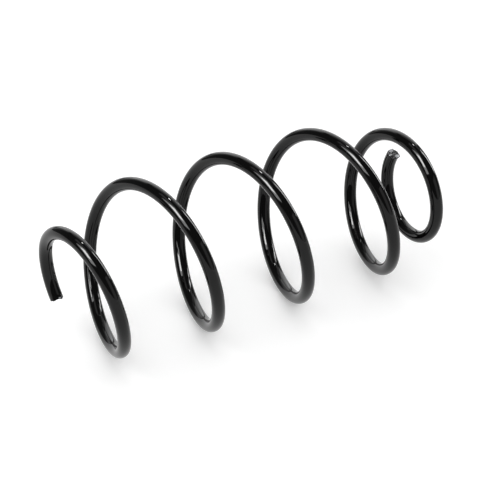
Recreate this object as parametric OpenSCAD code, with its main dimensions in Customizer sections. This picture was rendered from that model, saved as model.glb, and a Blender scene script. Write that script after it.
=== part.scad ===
// Coil spring for a wheel suspension, lying on its side.
// One round wire is wound right-handed along X. Both ends close in to a smaller coil,
// and both tips are left as the shear cut them.

/* [Wire] */
// Diameter of the wire
wire_d = 12.5; // [9:0.5:14]
// Bevel left round each sheared face by the paint and the shear
tip_bevel = 0.8; // [0.2:0.1:1.5]
// Lean of each sheared face from square to the wire, in degrees
tip_lean = 7; // [0:1:12]

/* [Body coils] */
// Outer diameter over the body coils
body_od = 162; // [150:1:176]
// Advance of the wire in one body turn
body_pitch = 97.5; // [84:0.5:110]
// Turns of wire from tip to tip
total_turns = 5.2; // [4.7:0.5:7.7]
// Angle of the first tip round the axis, from +Y towards +Z, in degrees
first_tip_angle = -40.5; // [-67.5:9:-13.5]

/* [First end] */
// Radius of the first end's small coil, to the wire's centre
first_tip_r = 51.5; // [40:0.5:60]
// Turns at the tip that keep this radius
first_hold_turns = 0.22; // [0:0.01:0.3]
// Turns in which the radius then opens out to the body's
first_open_turns = 0.87; // [0.8:0.01:1.2]
// First part of those turns, in which the opening builds up
first_open_start = 0.12; // [0.05:0.01:0.3]
// Last part of those turns, which eases into the body
first_open_ease = 0.73; // [0.1:0.01:0.75]
// Turns at the tip with hardly any advance
first_flat_turns = 0.13; // [0.05:0.01:0.4]
// Turns in which the advance then grows to the body's
first_rise_turns = 0.62; // [0.4:0.01:0.9]
// Advance in one turn at the first tip
first_tip_pitch = 3; // [0:0.5:12]
// How far the small coil's centre sits off the body's axis along Y
first_shift_y = -16; // [-20:0.5:4]
// How far the small coil's centre sits off the body's axis along Z
first_shift_z = 6; // [-8:0.5:10]
// Lean of the small coil in degrees, with its top away from the body when it is below 0
first_tilt = -6; // [-8:0.5:4]

/* [Second end] */
// Radius of the second end's small coil, to the wire's centre
second_tip_r = 45; // [38:0.5:56]
// Turns at the tip that keep this radius
second_hold_turns = 0.33; // [0:0.01:0.5]
// Turns in which the body's radius closes in to it
second_close_turns = 1.32; // [1.2:0.01:1.7]
// First part of those turns, which eases out of the body
second_close_ease = 0.3; // [0.1:0.01:0.7]
// Last part of those turns, in which the closing dies away
second_close_end = 0.2; // [0.05:0.01:0.3]
// Turns at the tip with little advance
second_flat_turns = 0.67; // [0.4:0.01:0.8]
// Turns in which the advance falls from the body's
second_fall_turns = 0.73; // [0.5:0.01:1]
// Advance in one turn at the second tip
second_tip_pitch = 13.5; // [8:0.5:20]
// How far the small coil's centre sits off the body's axis along Y
second_shift_y = -15.5; // [-20:0.5:4]
// How far the small coil's centre sits off the body's axis along Z
second_shift_z = 0.5; // [-8:0.5:10]

/* [Hidden] */

// Rings of points in one turn, so that a flat of the sweep faces each side and the floor
rings_per_turn = 40;
// Sides of the wire's section
wire_sides = 20;
// Step in turns for the wire's heading
heading_step = 0.001;
// Turns in which each change of the advance starts and stops
pitch_ease = 0.1;

wire_r = wire_d / 2;
body_r = body_od / 2 - wire_r;
last_ring = round(total_turns * rings_per_turn);

// Share of a change done t turns into it: it builds up, runs straight and eases off
function ramp(t, run, start, ease) =
    let (rate = 1 / (run - (start + ease) / 2))
    t <= 0 ? 0
    : t < start ? rate * t * t / (2 * start)
    : t < run - ease ? rate * (t - start / 2)
    : t < run ? 1 - rate * pow(run - t, 2) / (2 * ease)
    : 1;

// Share by which each end still differs from the body, t turns after the first tip
function first_share(t) =
    1 - ramp(t - first_hold_turns, first_open_turns, first_open_start, first_open_ease);
function second_share(t) =
    1 - ramp(
        total_turns - t - second_hold_turns,
        second_close_turns, second_close_end, second_close_ease
    );

// Radius of the coil after t turns
function coil_r(t) = body_r
    - (body_r - first_tip_r) * first_share(t)
    - (body_r - second_tip_r) * second_share(t);

// Advance along X per turn after t turns
function pitch_at(t) = body_pitch
    - (body_pitch - first_tip_pitch)
        * (1 - ramp(t - first_flat_turns, first_rise_turns, pitch_ease, pitch_ease))
    - (body_pitch - second_tip_pitch)
        * (1 - ramp(
            total_turns - t - second_flat_turns, second_fall_turns, pitch_ease, pitch_ease
        ));

// Place of the wire's centre after t turns, all but its advance along X
function swing(t) =
    let (
        angle = first_tip_angle + 360 * t,
        high = coil_r(t) * sin(angle)
    )
    [first_share(t) * tan(first_tilt) * high, coil_r(t) * cos(angle), high]
    + first_share(t) * [0, first_shift_y, first_shift_z]
    + second_share(t) * [0, second_shift_y, second_shift_z];

function unit(v) = v / norm(v);

// Direction in which the wire runs after t turns
function heading(t) =
    unit(
        [pitch_at(t), 0, 0]
        + (swing(t + heading_step) - swing(t - heading_step)) / (2 * heading_step)
    );

// Outward direction of the coil after t turns, square to the wire
function outward(t) =
    let (
        angle = first_tip_angle + 360 * t,
        radial = [0, cos(angle), sin(angle)],
        along = heading(t)
    )
    unit(radial - (radial * along) * along);

// Running sum of the advance, one value for each ring
advance = [
    for (
        k = 0, x = 0;
        k <= last_ring;
        x = x + pitch_at((k + 0.5) / rings_per_turn) / rings_per_turn, k = k + 1
    ) x
];

// One ring of points round the wire: t turns along, moved by shift along the wire.
// A sheared face leans by lean degrees.
function ring(t, x, r, shift, lean) =
    let (
        along = heading(t),
        out = outward(t),
        beside = cross(along, out),
        centre = [x, 0, 0] + swing(t) + shift * along
    )
    [
        for (side = [0 : wire_sides - 1])
            let (a = (side + 0.5) * 360 / wire_sides)
            centre
                + r * (cos(a) * out + sin(a) * beside)
                + r * cos(a) * tan(lean) * along
    ];

// Each tip has a smaller ring on its face and a full one a bevel behind it
rings = concat(
    [
        ring(0, advance[0], wire_r - tip_bevel, 0, tip_lean),
        ring(0, advance[0], wire_r, tip_bevel, tip_lean)
    ],
    [
        for (k = [1 : last_ring - 1])
            ring(k / rings_per_turn, advance[k], wire_r, 0, 0)
    ],
    [
        ring(total_turns, advance[last_ring], wire_r, -tip_bevel, -tip_lean),
        ring(total_turns, advance[last_ring], wire_r - tip_bevel, 0, -tip_lean)
    ]
);
skin_points = [for (one = rings) each one];

// Number of point side on ring k, with the sides counted round and round
function corner(k, side) = k * wire_sides + side % wire_sides;

skin_faces = concat(
    [[for (side = [0 : wire_sides - 1]) corner(0, side)]],
    [
        for (k = [0 : len(rings) - 2], side = [0 : wire_sides - 1])
            each [
                [corner(k, side), corner(k + 1, side), corner(k + 1, side + 1)],
                [corner(k, side), corner(k + 1, side + 1), corner(k, side + 1)]
            ]
    ],
    [[for (side = [wire_sides - 1 : -1 : 0]) corner(len(rings) - 1, side)]]
);

// Lowest and highest value of the points along one axis
function low(axis) = min([for (p = skin_points) p[axis]]);
function high(axis) = max([for (p = skin_points) p[axis]]);

// The spring lies on the floor, with the middle of its box over the origin
resting_place = [-(low(0) + high(0)) / 2, -(low(1) + high(1)) / 2, -low(2)];

module coil_spring() {
    color("#1c1d1f")
        translate(resting_place)
            polyhedron(points = skin_points, faces = skin_faces, convexity = 12);
}

coil_spring();
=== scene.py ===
"""A gloss black suspension coil spring, lying on a white studio floor.

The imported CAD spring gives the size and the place. This script winds the same wire again
with a round section, shears its tips, paints it and lights it as for a catalogue picture.
"""

from __future__ import annotations

import logging
import math
from dataclasses import dataclass, field
from enum import Enum, IntEnum

import bpy
import numpy as np
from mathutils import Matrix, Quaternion, Vector


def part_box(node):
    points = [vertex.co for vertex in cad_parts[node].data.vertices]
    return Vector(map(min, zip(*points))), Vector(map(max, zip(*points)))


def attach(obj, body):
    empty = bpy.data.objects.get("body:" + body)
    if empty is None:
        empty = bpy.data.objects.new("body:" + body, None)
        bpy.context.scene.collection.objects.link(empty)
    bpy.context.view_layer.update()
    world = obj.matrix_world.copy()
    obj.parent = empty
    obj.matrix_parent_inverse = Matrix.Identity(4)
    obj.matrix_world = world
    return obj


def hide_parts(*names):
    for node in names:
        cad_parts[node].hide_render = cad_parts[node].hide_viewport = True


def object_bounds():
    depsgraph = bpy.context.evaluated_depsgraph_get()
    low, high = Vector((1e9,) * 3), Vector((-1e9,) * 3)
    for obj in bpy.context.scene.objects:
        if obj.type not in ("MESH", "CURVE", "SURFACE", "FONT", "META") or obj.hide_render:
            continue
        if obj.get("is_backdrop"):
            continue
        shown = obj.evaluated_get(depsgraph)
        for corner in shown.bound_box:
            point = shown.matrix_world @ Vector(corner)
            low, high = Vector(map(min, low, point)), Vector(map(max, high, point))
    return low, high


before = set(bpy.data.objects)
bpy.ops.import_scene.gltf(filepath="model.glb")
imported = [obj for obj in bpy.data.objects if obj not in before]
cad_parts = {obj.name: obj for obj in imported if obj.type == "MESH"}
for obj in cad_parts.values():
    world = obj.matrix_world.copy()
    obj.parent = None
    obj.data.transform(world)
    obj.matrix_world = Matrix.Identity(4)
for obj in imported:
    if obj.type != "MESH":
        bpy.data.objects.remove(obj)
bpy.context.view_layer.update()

log = logging.getLogger("spring_scene")

MM = 0.001
TURN = 2.0 * math.pi
IMAGE_PX = 480
WHITE = "#ffffff"


class Node(str, Enum):
    """The shader nodes that the finishes use."""

    COORDINATES = "ShaderNodeTexCoord"
    NOISE = "ShaderNodeTexNoise"
    MAP_RANGE = "ShaderNodeMapRange"
    MATH = "ShaderNodeMath"
    VECTOR_MATH = "ShaderNodeVectorMath"
    MIX = "ShaderNodeMix"
    MIX_SHADER = "ShaderNodeMixShader"
    ADD_SHADER = "ShaderNodeAddShader"
    BUMP = "ShaderNodeBump"
    ATTRIBUTE = "ShaderNodeAttribute"
    LIGHT_PATH = "ShaderNodeLightPath"
    DIFFUSE = "ShaderNodeBsdfDiffuse"
    EMISSION = "ShaderNodeEmission"
    BACKGROUND = "ShaderNodeBackground"


class Ray(str, Enum):
    """The kinds of ray that the background is told apart by."""

    CAMERA = "Is Camera Ray"
    GLOSSY = "Is Glossy Ray"
    TRANSMISSION = "Is Transmission Ray"


class Tip(Enum):
    """The two sheared tips of the wire."""

    FIRST = "first"
    SECOND = "second"


class Coat(IntEnum):
    """The spring's materials, by their number on its mesh."""

    PAINTED = 0
    TORN = 1


class LampRole(Enum):
    """What a soft box is for."""

    # The gloss mirrors it, and it lights nothing else
    MIRRORED = "mirrored"
    # It lights the floor and every surface that isn't gloss, and isn't mirrored
    LIGHTING = "lighting"


def linear(hex_colour: str, alpha: float = 1.0) -> tuple[float, float, float, float]:
    """Turns an sRGB hex colour into the linear colour that a shader socket takes.

    Args:
        hex_colour: The colour as #rrggbb.
        alpha: The alpha to add.

    Returns:
        Linear red, green, blue and alpha.
    """
    parts = [int(hex_colour[i : i + 2], 16) / 255 for i in (1, 3, 5)]
    lin = [p / 12.92 if p <= 0.04045 else ((p + 0.055) / 1.055) ** 2.4 for p in parts]
    return (*lin, alpha)


def add_node(
    tree: bpy.types.NodeTree,
    kind: Node,
    settings: dict[str, object] | None = None,
    values: dict[str | int, object] | None = None,
    links: dict[str | int, bpy.types.NodeSocket] | None = None,
) -> bpy.types.Node:
    """Adds one node with its settings, its socket values and its incoming links.

    Args:
        tree: The tree that gets the node.
        kind: Which node to add.
        settings: Node properties by name.
        values: Input socket values, by socket name or number.
        links: Output sockets to join to the inputs, by input name or number.

    Returns:
        The new node.
    """
    node = tree.nodes.new(kind.value)
    for name, value in (settings or {}).items():
        setattr(node, name, value)
    for name, value in (values or {}).items():
        node.inputs[name].default_value = value
    for name, socket in (links or {}).items():
        tree.links.new(socket, node.inputs[name])
    return node


def fresh_material(name: str) -> tuple[bpy.types.Material, bpy.types.Node]:
    """Makes a node material that holds one principled shader and its output.

    Args:
        name: The material's name.

    Returns:
        The material and its principled shader node.
    """
    material = bpy.data.materials.new(name)
    material.use_nodes = True
    shader = next(n for n in material.node_tree.nodes if n.type == "BSDF_PRINCIPLED")
    return material, shader


@dataclass(frozen=True)
class GlossBlackPaint:
    """Sprayed gloss black enamel over spring steel.

    The coat is thick and wet-looking: it mirrors the studio, and shows a slight orange peel,
    a slow unevenness of the wire under it, and a fine dust that the bright floor picks out.
    """

    name: str = "enamel_sprayed_gloss_black"
    colour: str = "#040404"
    dust_colour: str = "#161718"
    # Enamel is about 1.5, and this coat mirrors the white floor dimmer than that
    ior: float = 1.325
    roughness_low: float = 0.03
    roughness_high: float = 0.07
    # Orange peel of a sprayed coat on a bar is about 2 mm from crest to crest
    peel_mm: float = 2.0
    peel_height_mm: float = 0.0016
    # Drawn wire is out of true over a few centimetres
    wave_mm: float = 26.0
    wave_height_mm: float = 0.007
    # Dust and tiny nibs are about 0.3 mm, drawn at 0.7 mm so that they show
    dust_mm: float = 0.7
    # Noise at which a speck of dust starts and is full, and how much of the coat it covers
    dust_from: float = 0.62
    dust_to: float = 0.78
    dust_cover: float = 0.55
    # Noise at which the coat is glossiest and dullest
    haze_from: float = 0.35
    haze_to: float = 0.75

    def build(self) -> bpy.types.Material:
        """Makes the material.

        Returns:
            The finished material.
        """
        material, shader = fresh_material(self.name)
        tree = material.node_tree
        place = add_node(tree, Node.COORDINATES).outputs["Object"]
        blotch = add_node(
            tree,
            Node.NOISE,
            values={"Scale": 1 / (self.wave_mm * MM), "Detail": 2.0, "Roughness": 0.5},
            links={"Vector": place},
        )
        dust = add_node(
            tree,
            Node.NOISE,
            values={"Scale": 1 / (self.dust_mm * MM), "Detail": 3.0, "Roughness": 0.7},
            links={"Vector": place},
        )
        specks = add_node(
            tree,
            Node.MAP_RANGE,
            values={
                "From Min": self.dust_from,
                "From Max": self.dust_to,
                "To Min": 0.0,
                "To Max": self.dust_cover,
            },
            links={"Value": dust.outputs["Fac"]},
        )
        tint = add_node(
            tree,
            Node.MIX,
            settings={"data_type": "RGBA"},
            values={"A": linear(self.colour), "B": linear(self.dust_colour)},
            links={"Factor": specks.outputs["Result"]},
        )
        tree.links.new(tint.outputs["Result"], shader.inputs["Base Color"])
        haze = add_node(
            tree,
            Node.MAP_RANGE,
            values={
                "From Min": self.haze_from,
                "From Max": self.haze_to,
                "To Min": self.roughness_low,
                "To Max": self.roughness_high,
            },
            links={"Value": blotch.outputs["Fac"]},
        )
        tree.links.new(haze.outputs["Result"], shader.inputs["Roughness"])
        peel = add_node(
            tree,
            Node.NOISE,
            values={"Scale": 1 / (self.peel_mm * MM), "Detail": 1.0},
            links={"Vector": place},
        )
        low_bump = add_node(
            tree,
            Node.BUMP,
            values={"Distance": self.wave_height_mm * MM, "Strength": 1.0},
            links={"Height": blotch.outputs["Fac"]},
        )
        high_bump = add_node(
            tree,
            Node.BUMP,
            values={"Distance": self.peel_height_mm * MM, "Strength": 1.0},
            links={"Height": peel.outputs["Fac"], "Normal": low_bump.outputs["Normal"]},
        )
        tree.links.new(high_bump.outputs["Normal"], shader.inputs["Normal"])
        shader.inputs["IOR"].default_value = self.ior
        return material


@dataclass(frozen=True)
class ShearedPaintedFace:
    """The torn end of the wire, thinly covered by the same black paint.

    The shear leaves a grey, crystalline face. Its crests show satin bare steel, which
    catches the lamps; its hollows are nearly black, partly the black paint and partly painted
    shade.
    """

    name: str = "spring_steel_sheared_black"
    # Near-black of the hollows: partly the paint, partly painted shade
    hollow_colour: str = "#070708"
    crest_colour: str = "#9b9da0"
    crest_metal: float = 0.12
    ior: float = 1.45
    roughness_low: float = 0.3
    roughness_high: float = 0.55
    # The torn grain is about 0.7 mm across
    grain_mm: float = 0.7
    grain_height_mm: float = 0.12
    # Name of the mesh's value for the share of bare steel at each point
    share: str = "bare"
    # How much the grain adds to that share, and where the sum turns from paint and painted shade
    # to steel
    grain_weight: float = 0.5
    bare_from: float = 0.45
    bare_to: float = 1.0

    def build(self) -> bpy.types.Material:
        """Makes the material.

        Returns:
            The finished material.
        """
        material, shader = fresh_material(self.name)
        tree = material.node_tree
        place = add_node(tree, Node.COORDINATES).outputs["Object"]
        grain = add_node(
            tree,
            Node.NOISE,
            values={"Scale": 1 / (self.grain_mm * MM), "Detail": 5.0, "Roughness": 0.65},
            links={"Vector": place},
        )
        share = add_node(tree, Node.ATTRIBUTE, settings={"attribute_name": self.share})
        speckled = add_node(
            tree,
            Node.MATH,
            settings={"operation": "MULTIPLY_ADD"},
            values={1: self.grain_weight},
            links={0: grain.outputs["Fac"], 2: share.outputs["Fac"]},
        )
        bare = add_node(
            tree,
            Node.MAP_RANGE,
            values={"From Min": self.bare_from, "From Max": self.bare_to},
            links={"Value": speckled.outputs["Value"]},
        )
        tint = add_node(
            tree,
            Node.MIX,
            settings={"data_type": "RGBA"},
            values={"A": linear(self.hollow_colour), "B": linear(self.crest_colour)},
            links={"Factor": bare.outputs["Result"]},
        )
        tree.links.new(tint.outputs["Result"], shader.inputs["Base Color"])
        metal = add_node(
            tree,
            Node.MATH,
            settings={"operation": "MULTIPLY"},
            values={1: self.crest_metal},
            links={0: bare.outputs["Result"]},
        )
        tree.links.new(metal.outputs["Value"], shader.inputs["Metallic"])
        dull = add_node(
            tree,
            Node.MAP_RANGE,
            values={"To Min": self.roughness_low, "To Max": self.roughness_high},
            links={"Value": grain.outputs["Fac"]},
        )
        tree.links.new(dull.outputs["Result"], shader.inputs["Roughness"])
        bump = add_node(
            tree,
            Node.BUMP,
            values={"Distance": self.grain_height_mm * MM, "Strength": 1.0},
            links={"Height": grain.outputs["Fac"]},
        )
        tree.links.new(bump.outputs["Normal"], shader.inputs["Normal"])
        shader.inputs["IOR"].default_value = self.ior
        return material


@dataclass(frozen=True)
class Tear:
    """One crest or hollow that the shear left on the end of the wire."""

    # Place on the face: away from the coil's axis, and beside that
    out_mm: float
    beside_mm: float
    size_mm: float
    # Above 0 it stands out of the face
    height_mm: float
    # How far it pushes the wire's side outwards
    flare_mm: float = 0.0


@dataclass(frozen=True)
class Chip:
    """A flake broken out of the wire's side, just behind its end."""

    # Angle round the wire from the coil's outward direction
    angle: float
    behind_mm: float
    width_mm: float
    length_mm: float
    depth_mm: float


@dataclass(frozen=True)
class ShearCut:
    """How the shear left one tip of the wire."""

    tears: tuple[Tear, ...]
    chips: tuple[Chip, ...] = ()
    seed: int = 0
    # The grain is a sum of waves of this height, with their radians per mm in this range
    grain_mm: float = 0.12
    waves: int = 10
    wave_range: tuple[float, float] = (0.9, 3.2)

    def relief(self, across: np.ndarray, along: np.ndarray) -> tuple[np.ndarray, np.ndarray]:
        """Works out how far the tears move the end of the wire.

        Args:
            across: Places away from the coil's axis, in mm from the face's centre.
            along: Places beside that, in mm.

        Returns:
            The height over the plain face and the outward flare, in mm.
        """
        draw = np.random.default_rng(self.seed)
        height, flare = np.zeros_like(across), np.zeros_like(across)
        for _ in range(self.waves):
            often = draw.uniform(*self.wave_range)
            turn, phase = draw.uniform(0, TURN), draw.uniform(0, TURN)
            wave = np.sin(often * (across * math.cos(turn) + along * math.sin(turn)) + phase)
            height += self.grain_mm * wave / 2
        for tear in self.tears:
            away = (across - tear.out_mm) ** 2 + (along - tear.beside_mm) ** 2
            bell = np.exp(-away / tear.size_mm**2)
            height += tear.height_mm * bell
            flare += tear.flare_mm * bell
        return height, flare

    def broken(
        self, angles: np.ndarray, behind: float, radius: float
    ) -> tuple[np.ndarray, np.ndarray]:
        """Works out where chips are broken out of the wire's side.

        Args:
            angles: Angles round the wire, in radians.
            behind: Distance behind the face, in mm.
            radius: Radius of the wire, in mm.

        Returns:
            The depth in mm, and the share of bare steel.
        """
        depth, bare = np.zeros_like(angles), np.zeros_like(angles)
        for chip in self.chips:
            beside = 2 * radius * np.sin((angles - math.radians(chip.angle)) / 2)
            bell = np.exp(
                -((beside / (chip.width_mm / 2)) ** 2)
                - ((behind - chip.behind_mm) / (chip.length_mm / 2)) ** 2
            )
            depth = np.maximum(depth, chip.depth_mm * bell)
            bare = np.maximum(bare, bell)
        return depth, bare


def ramp(t: np.ndarray, run: float, start: float, ease: float) -> np.ndarray:
    """Share of a change done t turns into it: it builds up, runs straight and eases off.

    Args:
        t: Turns into the change; below 0 it hasn't begun.
        run: Turns that the whole change takes.
        start: First part of those turns, in which it builds up.
        ease: Last part of those turns, in which it eases off.

    Returns:
        The share for each t, from 0 to 1.
    """
    rate = 1 / (run - (start + ease) / 2)
    straight = rate * (t - start / 2)
    easing = 1 - rate * (run - t) ** 2 / (2 * ease)
    late = np.where(t < run - ease, straight, np.where(t < run, easing, 1.0))
    return np.where(t <= 0, 0.0, np.where(t < start, rate * t * t / (2 * start), late))


@dataclass
class CoilSpring:
    """The one wire of the spring, wound, sheared and painted.

    Sizes are in millimetres and turns, and are those of the CAD part.
    """

    node: str = "coil_spring"
    slot: str = "black_paint"

    wire_d: float = 12.5
    body_od: float = 162.0
    body_pitch: float = 97.5
    total_turns: float = 5.2
    first_tip_angle: float = -40.5
    pitch_ease: float = 0.1
    heading_step: float = 0.001

    first_tip_r: float = 51.5
    first_hold_turns: float = 0.22
    first_open_turns: float = 0.87
    first_open_start: float = 0.12
    first_open_ease: float = 0.73
    first_flat_turns: float = 0.13
    first_rise_turns: float = 0.62
    first_tip_pitch: float = 3.0
    first_shift: tuple[float, float] = (-16.0, 6.0)
    first_tilt: float = -6.0

    second_tip_r: float = 45.0
    second_hold_turns: float = 0.33
    second_close_turns: float = 1.32
    second_close_ease: float = 0.3
    second_close_end: float = 0.2
    second_flat_turns: float = 0.67
    second_fall_turns: float = 0.73
    second_tip_pitch: float = 13.5
    second_shift: tuple[float, float] = (-15.5, 0.5)

    tip_lean: float = 7.0
    # The shear and the paint round the rim by this much
    rim_mm: float = 0.6
    rim_rings: int = 5
    # Stretch of wire behind the rim that the shear pulled out of true
    pulled_mm: float = 3.0
    pulled_rings: int = 6
    # The path's rings that this stretch takes the place of, at each end
    replaced_rings: int = 2
    face_rings: int = 20
    # Height of a tear over the plain face at which its steel is bare; below it, paint and painted
    # shade
    bare_from_mm: float = -0.1
    bare_to_mm: float = 0.35
    # A face of the wire's side is torn where its corners' shares add up to more than this
    torn_from: float = 1.8
    first_cut: ShearCut = ShearCut(
        tears=(
            Tear(-5.4, -2.6, 1.9, 1.3, 0.1),
            Tear(-3.8, 4.4, 2.6, 0.75),
            Tear(1.5, -1.0, 3.0, -0.7),
        ),
        chips=(Chip(188.0, 0.95, 3.4, 1.0, 0.5),),
        seed=11,
    )
    second_cut: ShearCut = ShearCut(
        tears=(
            Tear(3.8, 0.6, 2.2, 0.6),
            Tear(5.3, -2.0, 0.9, 0.9, 0.2),
            Tear(0.4, -4.0, 1.9, -1.15),
            Tear(3.2, -3.4, 1.2, -0.5),
            Tear(2.2, 3.0, 0.9, -0.8),
            Tear(1.6, 0.8, 0.9, -0.8),
            Tear(0.9, -1.4, 1.0, -0.8),
            Tear(-0.4, 3.5, 1.4, 0.35),
            Tear(-3.9, -1.7, 1.7, 0.8),
            Tear(-4.2, -4.6, 1.9, 0.6, 0.7),
            Tear(-3.7, 2.9, 1.9, -1.7),
        ),
        seed=5,
    )

    rings_per_turn: int = 150
    sides: int = 64
    paint: GlossBlackPaint = field(default_factory=GlossBlackPaint)
    torn: ShearedPaintedFace = field(default_factory=ShearedPaintedFace)

    @property
    def wire_r(self) -> float:
        """Radius of the wire."""
        return self.wire_d / 2

    @property
    def body_r(self) -> float:
        """Radius of the body coils' centreline."""
        return self.body_od / 2 - self.wire_r

    def first_share(self, t: np.ndarray) -> np.ndarray:
        """Share by which the first end still differs from the body."""
        into = t - self.first_hold_turns
        return 1 - ramp(into, self.first_open_turns, self.first_open_start, self.first_open_ease)

    def second_share(self, t: np.ndarray) -> np.ndarray:
        """Share by which the second end still differs from the body."""
        into = self.total_turns - t - self.second_hold_turns
        return 1 - ramp(
            into, self.second_close_turns, self.second_close_end, self.second_close_ease
        )

    def coil_r(self, t: np.ndarray) -> np.ndarray:
        """Radius of the coil after t turns."""
        first = (self.body_r - self.first_tip_r) * self.first_share(t)
        second = (self.body_r - self.second_tip_r) * self.second_share(t)
        return self.body_r - first - second

    def pitch_at(self, t: np.ndarray) -> np.ndarray:
        """Advance along X per turn after t turns."""
        ease = self.pitch_ease
        first = ramp(t - self.first_flat_turns, self.first_rise_turns, ease, ease)
        left = self.total_turns - t - self.second_flat_turns
        second = ramp(left, self.second_fall_turns, ease, ease)
        return (
            self.body_pitch
            - (self.body_pitch - self.first_tip_pitch) * (1 - first)
            - (self.body_pitch - self.second_tip_pitch) * (1 - second)
        )

    def swing(self, t: np.ndarray) -> np.ndarray:
        """Place of the wire's centre after t turns, all but its advance along X."""
        angle = np.radians(self.first_tip_angle) + TURN * t
        across, high = self.coil_r(t) * np.cos(angle), self.coil_r(t) * np.sin(angle)
        first, second = self.first_share(t), self.second_share(t)
        lean = first * math.tan(math.radians(self.first_tilt)) * high
        return np.column_stack(
            [
                lean,
                across + first * self.first_shift[0] + second * self.second_shift[0],
                high + first * self.first_shift[1] + second * self.second_shift[1],
            ]
        )

    def centreline(self) -> tuple[np.ndarray, np.ndarray, np.ndarray]:
        """Works out the wire's centre and its directions at every ring.

        Returns:
            Centres, headings and outward directions, one row for each ring.
        """
        count = round(self.total_turns * self.rings_per_turn)
        t = np.linspace(0.0, self.total_turns, count + 1)
        middle = (t[1:] + t[:-1]) / 2
        advance = np.concatenate([[0.0], np.cumsum(self.pitch_at(middle) * np.diff(t))])
        centre = self.swing(t)
        centre[:, 0] += advance
        step = self.heading_step
        heading = (self.swing(t + step) - self.swing(t - step)) / (2 * step)
        heading[:, 0] += self.pitch_at(t)
        heading /= np.linalg.norm(heading, axis=1)[:, None]
        angle = np.radians(self.first_tip_angle) + TURN * t
        radial = np.stack([np.zeros_like(t), np.cos(angle), np.sin(angle)], axis=-1)
        outward = radial - (radial * heading).sum(axis=1)[:, None] * heading
        outward /= np.linalg.norm(outward, axis=1)[:, None]
        return centre, heading, outward

    def ring(
        self,
        centre: np.ndarray,
        heading: np.ndarray,
        outward: np.ndarray,
        radius: float,
        lean: float,
    ) -> np.ndarray:
        """Places one ring of points round the wire.

        Args:
            centre: Centre of the ring.
            heading: Direction of the wire there.
            outward: Outward direction of the coil there.
            radius: Radius of the ring.
            lean: Lean of the ring's plane from square, in degrees.

        Returns:
            One row for each side of the ring.
        """
        beside = np.cross(heading, outward)
        a = TURN * (np.arange(self.sides) + 0.5) / self.sides
        rim = np.cos(a)[:, None] * outward + np.sin(a)[:, None] * beside
        tilt = np.cos(a)[:, None] * math.tan(math.radians(lean)) * heading
        return centre + radius * (rim + tilt)

    def tip_profile(self) -> tuple[list[float], list[float]]:
        """Lists the rings of one tip: the pulled stretch, the rounded rim and the face.

        Returns:
            How far each ring lies behind the face, and its radius, in mm.
        """
        pulled = np.linspace(self.pulled_mm, self.rim_mm, self.pulled_rings + 1)[:-1]
        quarter = 0.25 * TURN * np.arange(self.rim_rings) / self.rim_rings
        flat_r = self.wire_r - self.rim_mm
        backs = [*pulled, *(self.rim_mm * (1 - np.sin(quarter))), *([0.0] * self.face_rings)]
        radii = [
            *([self.wire_r] * len(pulled)),
            *(self.wire_r - self.rim_mm * (1 - np.cos(quarter))),
            *(flat_r * (1 - np.arange(self.face_rings) / self.face_rings)),
        ]
        return backs, radii

    def tip_rings(
        self, tip: Tip, centre: np.ndarray, heading: np.ndarray, outward: np.ndarray
    ) -> tuple[list[np.ndarray], list[np.ndarray]]:
        """Builds one tip, and moves its points as the shear left them.

        Args:
            tip: Which tip it is.
            centre: Centre of the face.
            heading: Direction of the wire there.
            outward: Outward direction of the coil there.

        Returns:
            The rings from the wire's side to the face's centre, and their shares of bare steel.
        """
        cut = self.first_cut if tip is Tip.FIRST else self.second_cut
        into = heading if tip is Tip.FIRST else -heading
        lean = self.tip_lean if tip is Tip.FIRST else -self.tip_lean
        beside = np.cross(heading, outward)
        angles = TURN * (np.arange(self.sides) + 0.5) / self.sides
        side = np.cos(angles)[:, None] * outward + np.sin(angles)[:, None] * beside
        rings, bares = [], []
        for back, radius in zip(*self.tip_profile()):
            plain = self.ring(centre + back * into, heading, outward, radius, lean)
            across, along = (plain - centre) @ outward, (plain - centre) @ beside
            height, flare = cut.relief(across, along)
            depth, bare = cut.broken(angles, back, self.wire_r)
            # The tears' pull fades out along the wire behind the rim
            fade = min(1.0, (self.pulled_mm - back) / (self.pulled_mm - self.rim_mm))
            on_side = radius / self.wire_r
            rings.append(
                plain
                - fade * height[:, None] * into
                + ((fade * flare - depth) * on_side)[:, None] * side
            )
            # Crests are bare steel, and hollows near-black: partly the paint, partly painted shade
            if back == 0.0:
                crest = (height - self.bare_from_mm) / (self.bare_to_mm - self.bare_from_mm)
                bare = np.maximum(bare, np.clip(crest, 0.0, 1.0))
            bares.append(bare)
        return rings, bares

    def skin(self) -> tuple[np.ndarray, list[tuple[int, ...]], list[int], np.ndarray]:
        """Winds the whole wire.

        Returns:
            The points in millimetres, the faces, each face's material number, and each
            point's share of bare steel.
        """
        centre, heading, outward = self.centreline()
        skip = self.replaced_rings
        first, first_bare = self.tip_rings(Tip.FIRST, centre[0], heading[0], outward[0])
        second, second_bare = self.tip_rings(Tip.SECOND, centre[-1], heading[-1], outward[-1])
        body = [
            self.ring(centre[k], heading[k], outward[k], self.wire_r, 0.0)
            for k in range(skip, len(centre) - skip)
        ]
        rings = first[::-1] + body + second
        whole = [np.zeros(self.sides)] * len(body)
        bare = np.concatenate(first_bare[::-1] + whole + second_bare)
        faces: list[tuple[int, ...]] = []
        slots: list[int] = []
        for k in range(len(rings) - 1):
            on_face = k < self.face_rings or k >= len(rings) - 1 - self.face_rings
            for j in range(self.sides):
                here, there = k * self.sides, (k + 1) * self.sides
                after = (j + 1) % self.sides
                corners = (here + j, there + j, there + after, here + after)
                faces.append(corners)
                torn = on_face or sum(bare[c] for c in corners) > self.torn_from
                slots.append(int(Coat.TORN if torn else Coat.PAINTED))
        last = (len(rings) - 1) * self.sides
        faces.append(tuple(range(self.sides)))
        faces.append(tuple(last + j for j in reversed(range(self.sides))))
        slots += [int(Coat.TORN)] * 2
        return np.concatenate(rings), faces, slots, bare

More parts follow.
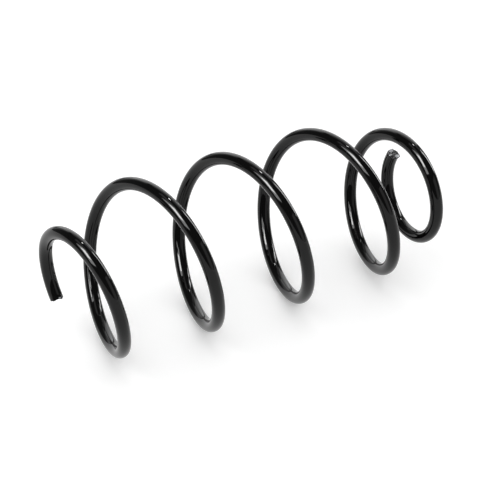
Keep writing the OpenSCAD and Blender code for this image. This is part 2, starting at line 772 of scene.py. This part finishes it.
    def resting_place(self, points: np.ndarray) -> np.ndarray:
        """Shift that lays the wire where the CAD spring lies.

        Args:
            points: The wound points in millimetres.

        Returns:
            The shift in millimetres.
        """
        low, high = (np.asarray(corner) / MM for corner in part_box(self.node))
        return (low + high) / 2 - (points.min(axis=0) + points.max(axis=0)) / 2

    def build(self) -> bpy.types.Object:
        """Makes the spring's object, dresses it and puts it in the CAD spring's place.

        Returns:
            The dressed spring.
        """
        points, faces, slots, bare = self.skin()
        points = (points + self.resting_place(points)) * MM
        mesh = bpy.data.meshes.new("wound_wire")
        mesh.from_pydata(points.tolist(), [], faces)
        # In the order of their numbers in Coat
        mesh.materials.append(self.paint.build())
        mesh.materials.append(self.torn.build())
        mesh.polygons.foreach_set("material_index", slots)
        # The paint flows smoothly, and the torn steel keeps its small flat facets
        mesh.polygons.foreach_set("use_smooth", [slot == Coat.PAINTED for slot in slots])
        shares = mesh.attributes.new(self.torn.share, "FLOAT", "POINT")
        shares.data.foreach_set("value", bare)
        mesh.update()
        spring = bpy.data.objects.new("wound_wire", mesh)
        bpy.context.scene.collection.objects.link(spring)
        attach(spring, "root")
        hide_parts(self.node)
        return spring


@dataclass(frozen=True)
class SoftBox:
    """One lamp with a diffusing face, placed round the spring and turned towards it.

    Sizes are in metres and angles in degrees.
    """

    name: str
    # Azimuth 0 is the front, -Y, and 90 the +X end
    azimuth: float
    elevation: float
    distance: float
    width: float
    height: float
    # Brightness of its face, where 1 is white
    radiance: float
    roll: float = 0.0
    role: LampRole = LampRole.MIRRORED


@dataclass
class Studio:
    """The white floor, the lamps and the camera.

    Sizes are in metres and angles in degrees, except where a name says otherwise.
    """

    floor_size: float = 14.0
    floor_colour: str = "#fbfbfb"
    # Glow that lifts the lit floor to white, in the picture and where gloss mirrors it
    floor_fill: float = 0.14
    # The floor turns white by itself between these distances from the spring
    white_from: float = 0.8
    white_to: float = 2.0
    # Brightness of the dim room that the paint mirrors between the lamps
    room_strength: float = 0.16

    # The wide silks light the floor from both ends, which leaves the spring's soft shadow
    boxes: tuple[SoftBox, ...] = (
        SoftBox("key_softbox", -77.0, 43.0, 4.4, 1.5, 1.5, 27.0, roll=45.0),
        SoftBox("key_softbox_skirt", -75.5, 41.0, 4.6, 3.0, 3.0, 8.5, roll=45.0),
        SoftBox("right_strip_box", 94.0, 27.0, 3.0, 0.44, 2.1, 19.0, roll=-8.0),
        SoftBox("back_panel", 147.0, 25.0, 2.4, 2.6, 1.75, 2.15),
        SoftBox("back_ceiling_glow", 128.0, 56.0, 2.4, 2.4, 0.8, 0.9),
        SoftBox("left_ceiling_glow", -92.0, 68.0, 2.0, 1.3, 0.8, 0.9),
        SoftBox("ceiling_spot", 138.0, 72.5, 5.0, 0.3, 0.3, 100.0),
        SoftBox("front_reflector", 24.0, 17.0, 2.2, 1.8, 1.5, 0.76),
        SoftBox("side_reflector", -173.0, 22.0, 2.2, 0.5, 1.9, 0.55),
        SoftBox("overhead_silk", 95.0, 55.5, 2.4, 7.0, 6.0, 1.01, role=LampRole.LIGHTING),
        SoftBox("left_silk", -90.0, 33.5, 2.4, 5.8, 2.8, 1.41, role=LampRole.LIGHTING),
    )

    # The photograph's camera: where it stands round the spring, and its lens
    azimuth: float = -31.58
    elevation: float = 30.94
    roll: float = 0.83
    distance: float = 1.748
    focal_px: float = 1853.0
    sensor_mm: float = 36.0
    clip: tuple[float, float] = (0.05, 50.0)
    target: tuple[float, float, float] = (-0.00752, -0.00952, 0.0807)

    def direction(self, azimuth: float, elevation: float) -> Vector:
        """Unit vector towards a place round the spring.

        Args:
            azimuth: 0 is the front, -Y, and 90 the +X end, in degrees.
            elevation: Angle above the horizon, in degrees.

        Returns:
            The direction from the spring.
        """
        a, e = math.radians(azimuth), math.radians(elevation)
        return Vector((math.sin(a) * math.cos(e), -math.cos(a) * math.cos(e), math.sin(e)))

    def rays(self, tree: bpy.types.NodeTree, *kinds: Ray) -> bpy.types.NodeSocket:
        """Picks out some kinds of ray.

        Args:
            tree: The node tree of the floor or the world.
            kinds: The kinds of ray to pick out.

        Returns:
            A socket that is 1 for those rays, and otherwise 0.
        """
        path = add_node(tree, Node.LIGHT_PATH).outputs
        picked = path[kinds[0].value]
        for kind in kinds[1:]:
            picked = add_node(
                tree,
                Node.MATH,
                settings={"operation": "MAXIMUM"},
                links={0: picked, 1: path[kind.value]},
            ).outputs["Value"]
        return picked

    def build_floor(self) -> bpy.types.Object:
        """Lays the white floor, which shows white and keeps the spring's shadow.

        Returns:
            The floor.
        """
        half = self.floor_size / 2
        # The wound wire is rounder than the CAD one, so it reaches a hair lower
        low = min(0.0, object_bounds()[0].z)
        corners = [(-half, -half, low), (half, -half, low), (half, half, low), (-half, half, low)]
        mesh = bpy.data.meshes.new("studio_floor")
        mesh.from_pydata(corners, [], [(0, 1, 2, 3)])
        material = bpy.data.materials.new("painted_studio_floor")
        material.use_nodes = True
        tree = material.node_tree
        tree.nodes.clear()
        diffuse = add_node(tree, Node.DIFFUSE, values={"Color": linear(self.floor_colour)})
        near = add_node(
            tree,
            Node.MATH,
            settings={"operation": "MULTIPLY"},
            values={1: self.floor_fill},
            links={0: self.rays(tree, Ray.CAMERA, Ray.GLOSSY, Ray.TRANSMISSION)},
        )
        # Far from the lamps the floor fades to white too, but the paint mirrors it dim
        place = add_node(tree, Node.COORDINATES).outputs["Object"]
        away = add_node(tree, Node.VECTOR_MATH, settings={"operation": "LENGTH"}, links={0: place})
        far = add_node(
            tree,
            Node.MAP_RANGE,
            values={"From Min": self.white_from, "From Max": self.white_to},
            links={"Value": away.outputs["Value"]},
        )
        far_seen = add_node(
            tree,
            Node.MATH,
            settings={"operation": "MULTIPLY"},
            links={0: far.outputs["Result"], 1: self.rays(tree, Ray.CAMERA, Ray.TRANSMISSION)},
        )
        strength = add_node(
            tree,
            Node.MATH,
            settings={"operation": "MAXIMUM"},
            links={0: near.outputs["Value"], 1: far_seen.outputs["Value"]},
        )
        glow = add_node(
            tree,
            Node.EMISSION,
            values={"Color": linear(WHITE)},
            links={"Strength": strength.outputs["Value"]},
        )
        both = add_node(
            tree,
            Node.ADD_SHADER,
            links={0: diffuse.outputs["BSDF"], 1: glow.outputs["Emission"]},
        )
        output = tree.nodes.new("ShaderNodeOutputMaterial")
        tree.links.new(both.outputs["Shader"], output.inputs["Surface"])
        mesh.materials.append(material)
        floor = bpy.data.objects.new("studio_floor", mesh)
        bpy.context.scene.collection.objects.link(floor)
        floor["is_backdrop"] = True
        return floor

    def hang(self, box: SoftBox) -> bpy.types.Object:
        """Hangs one soft box that faces the spring.

        Args:
            box: The soft box.

        Returns:
            The lamp.
        """
        light = bpy.data.lights.new(box.name, "AREA")
        light.shape = "RECTANGLE"
        light.size, light.size_y = box.width, box.height
        # A lamp's power spreads over its face and the half sphere in front of it
        light.energy = box.radiance * math.pi * box.width * box.height
        lamp = bpy.data.objects.new(box.name, light)
        bpy.context.scene.collection.objects.link(lamp)
        towards = self.direction(box.azimuth, box.elevation)
        lamp.location = Vector(self.target) + towards * box.distance
        lamp.rotation_mode = "QUATERNION"
        turn = Quaternion(towards, math.radians(box.roll))
        lamp.rotation_quaternion = turn @ towards.to_track_quat("Z", "Y")
        lamp.visible_camera = False
        lamp.visible_glossy = box.role is LampRole.MIRRORED
        lamp.visible_diffuse = box.role is LampRole.LIGHTING
        return lamp

    def build_world(self) -> None:
        """Surrounds the spring with a dim room, which the paint mirrors, on a white backdrop."""
        world = bpy.data.worlds.new("studio_room")
        bpy.context.scene.world = world
        world.use_nodes = True
        tree = world.node_tree
        tree.nodes.clear()
        white = linear(WHITE)
        room = add_node(
            tree, Node.BACKGROUND, values={"Color": white, "Strength": self.room_strength}
        )
        backdrop = add_node(tree, Node.BACKGROUND, values={"Color": white, "Strength": 1.0})
        mixed = add_node(
            tree,
            Node.MIX_SHADER,
            links={
                0: self.rays(tree, Ray.CAMERA, Ray.TRANSMISSION),
                1: room.outputs["Background"],
                2: backdrop.outputs["Background"],
            },
        )
        output = tree.nodes.new("ShaderNodeOutputWorld")
        tree.links.new(mixed.outputs["Shader"], output.inputs["Surface"])

    def build_camera(self) -> bpy.types.Object:
        """Stands the camera where the photograph was taken from.

        Returns:
            The camera.
        """
        data = bpy.data.cameras.new("catalogue_camera")
        data.sensor_width = self.sensor_mm
        data.lens = self.sensor_mm * self.focal_px / IMAGE_PX
        data.clip_start, data.clip_end = self.clip
        data.dof.use_dof = False
        camera = bpy.data.objects.new("catalogue_camera", data)
        bpy.context.scene.collection.objects.link(camera)
        back = self.direction(self.azimuth, self.elevation)
        camera.location = Vector(self.target) + back * self.distance
        camera.rotation_mode = "QUATERNION"
        level = (-back).to_track_quat("-Z", "Y")
        camera.rotation_quaternion = Quaternion(back, math.radians(self.roll)) @ level
        bpy.context.scene.camera = camera
        return camera

    def build(self) -> None:
        """Sets up the whole studio."""
        bpy.context.scene.view_settings.view_transform = "Standard"
        self.build_floor()
        self.build_world()
        for box in self.boxes:
            self.hang(box)
        self.build_camera()


def main() -> None:
    """Builds the spring and the studio, and logs each piece."""
    logging.basicConfig(level=logging.INFO, format="%(message)s")
    spring = CoilSpring().build()
    log.info("built %s with %d faces", spring.name, len(spring.data.polygons))
    Studio().build()
    log.info("built the studio")


if __name__ == "__main__":
    main()
